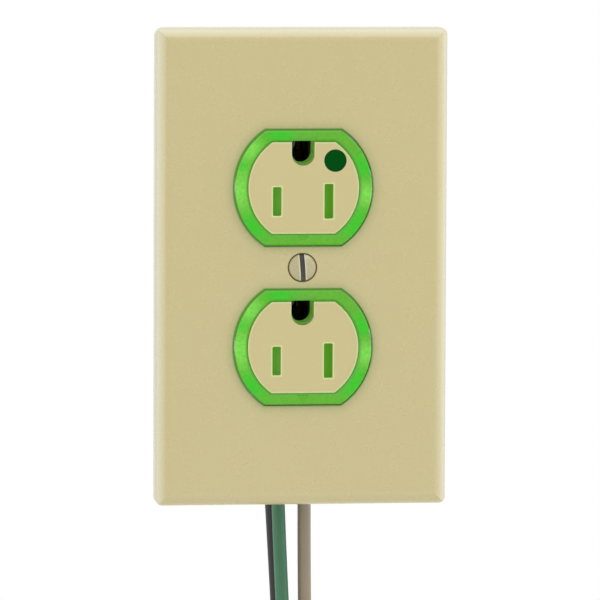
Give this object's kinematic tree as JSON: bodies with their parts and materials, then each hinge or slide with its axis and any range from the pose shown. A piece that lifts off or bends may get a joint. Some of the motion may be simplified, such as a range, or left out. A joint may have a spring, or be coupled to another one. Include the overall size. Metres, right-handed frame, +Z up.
{
  "type": "lighted duplex wall outlet",
  "caption": "Duplex earthed wall outlet with a green lit ring round each face, ivory cover plate, steel mounting strap and plug-in wiring module with three hanging leads.",
  "frame": {"origin": "midway between the two box screws, on the wall plane at the back of the strap's ears", "axes": "+X right, +Y into the wall, +Z up; the faces look along -Y"},
  "size_m": [0.0702, 0.0488, 0.2221],
  "materials": {
    "ivory_plate": "satin moulded nylon",
    "ivory_face": "fine satin nylon",
    "ivory_paint": "painted steel",
    "green_lens": "translucent lit polycarbonate",
    "green_shutter": "translucent acetal",
    "dot_green": "pad-printed ink",
    "black_body": "moulded thermoset",
    "white_deck": "moulded nylon",
    "zinc_steel": "zinc plated, bright",
    "spring_steel": "bright drawn wire",
    "brass": "stamped",
    "tin_brass": "tin plated",
    "board": "glass-epoxy laminate",
    "lamp": "clear epoxy",
    "resistor_paint": "lacquer",
    "diode_epoxy": "moulded epoxy",
    "module_plastic": "moulded nylon",
    "latch_plastic": "moulded acetal",
    "black_pvc": "extruded",
    "green_pvc": "extruded",
    "grey_pvc": "extruded",
    "copper": "bare strand"
  },
  "bodies": {
    "outlet": {"back_body": "black_body", "board_diode": "diode_epoxy", "board_springs": "spring_steel", "body_rivets": "zinc_steel", "box_screws": "zinc_steel", "copper_black": "copper", "copper_green": "copper", "copper_white": "copper", "dropping_resistor": "resistor_paint", "face_insert_lower": "ivory_face", "face_insert_upper": "ivory_face", "grade_dot": "dot_green", "ground_blade": "tin_brass", "ground_contact_lower": "brass", "ground_contact_upper": "brass", "ground_rivets": "tin_brass", "hot_bus": "brass", "latch_spring": "spring_steel", "lead_black": "black_pvc", "lead_green": "green_pvc", "lead_white": "grey_pvc", "led_board": "board", "leds": "lamp", "lens_cover": "green_lens", "module_contact_ground": "tin_brass", "module_contact_hot": "tin_brass", "module_contact_neutral": "tin_brass", "module_cover": "module_plastic", "module_housing": "module_plastic", "module_latch_pin": "zinc_steel", "mounting_strap": "zinc_steel", "neutral_bus": "tin_brass", "screw_bushing": "brass", "shutter_deck_lower": "white_deck", "shutter_deck_upper": "white_deck", "shutter_spring_lower": "spring_steel", "shutter_spring_upper": "spring_steel", "wall_plate": "ivory_plate"},
    "upper_hot_shutter": {"shutter_hot_upper": "green_shutter"},
    "upper_neutral_shutter": {"shutter_neutral_upper": "green_shutter"},
    "lower_hot_shutter": {"shutter_hot_lower": "green_shutter"},
    "lower_neutral_shutter": {"shutter_neutral_lower": "green_shutter"},
    "plate_screw": {"plate_screw": "ivory_paint"},
    "module_latch": {"module_latch": "latch_plastic"}
  },
  "joints": [
    {"name": "upper_hot_shutter_slide", "type": "slide", "parent": "outlet", "child": "upper_hot_shutter", "axis": [1, 0, 0], "range_m": [0, 0.0032], "stiffness_N_per_m": 300, "springref_m": -0.001, "deforming": ["shutter_spring_upper"]},
    {"name": "upper_neutral_shutter_slide", "type": "slide", "parent": "outlet", "child": "upper_neutral_shutter", "axis": [-1, 0, 0], "range_m": [0, 0.0032]},
    {"name": "lower_hot_shutter_slide", "type": "slide", "parent": "outlet", "child": "lower_hot_shutter", "axis": [1, 0, 0], "range_m": [0, 0.0032], "stiffness_N_per_m": 300, "springref_m": -0.001, "deforming": ["shutter_spring_lower"]},
    {"name": "lower_neutral_shutter_slide", "type": "slide", "parent": "outlet", "child": "lower_neutral_shutter", "axis": [-1, 0, 0], "range_m": [0, 0.0032]},
    {"name": "plate_screw_turn", "type": "hinge", "parent": "outlet", "child": "plate_screw", "pos_m": [0, 0, 0], "axis": [0, -1, 0], "continuous": true},
    {"name": "module_latch_press", "type": "hinge", "parent": "outlet", "child": "module_latch", "pos_m": [0, 0.035, 0.0158], "axis": [-1, 0, 0], "range_deg": [0, 8], "stiffness_Nm_per_rad": 0.1, "springref_deg": -4.01, "deforming": ["latch_spring"]}
  ],
  "couplings": [
    {"joint": "upper_neutral_shutter_slide", "follows": "upper_hot_shutter_slide", "ratio": 1},
    {"joint": "lower_neutral_shutter_slide", "follows": "lower_hot_shutter_slide", "ratio": 1}
  ]
}
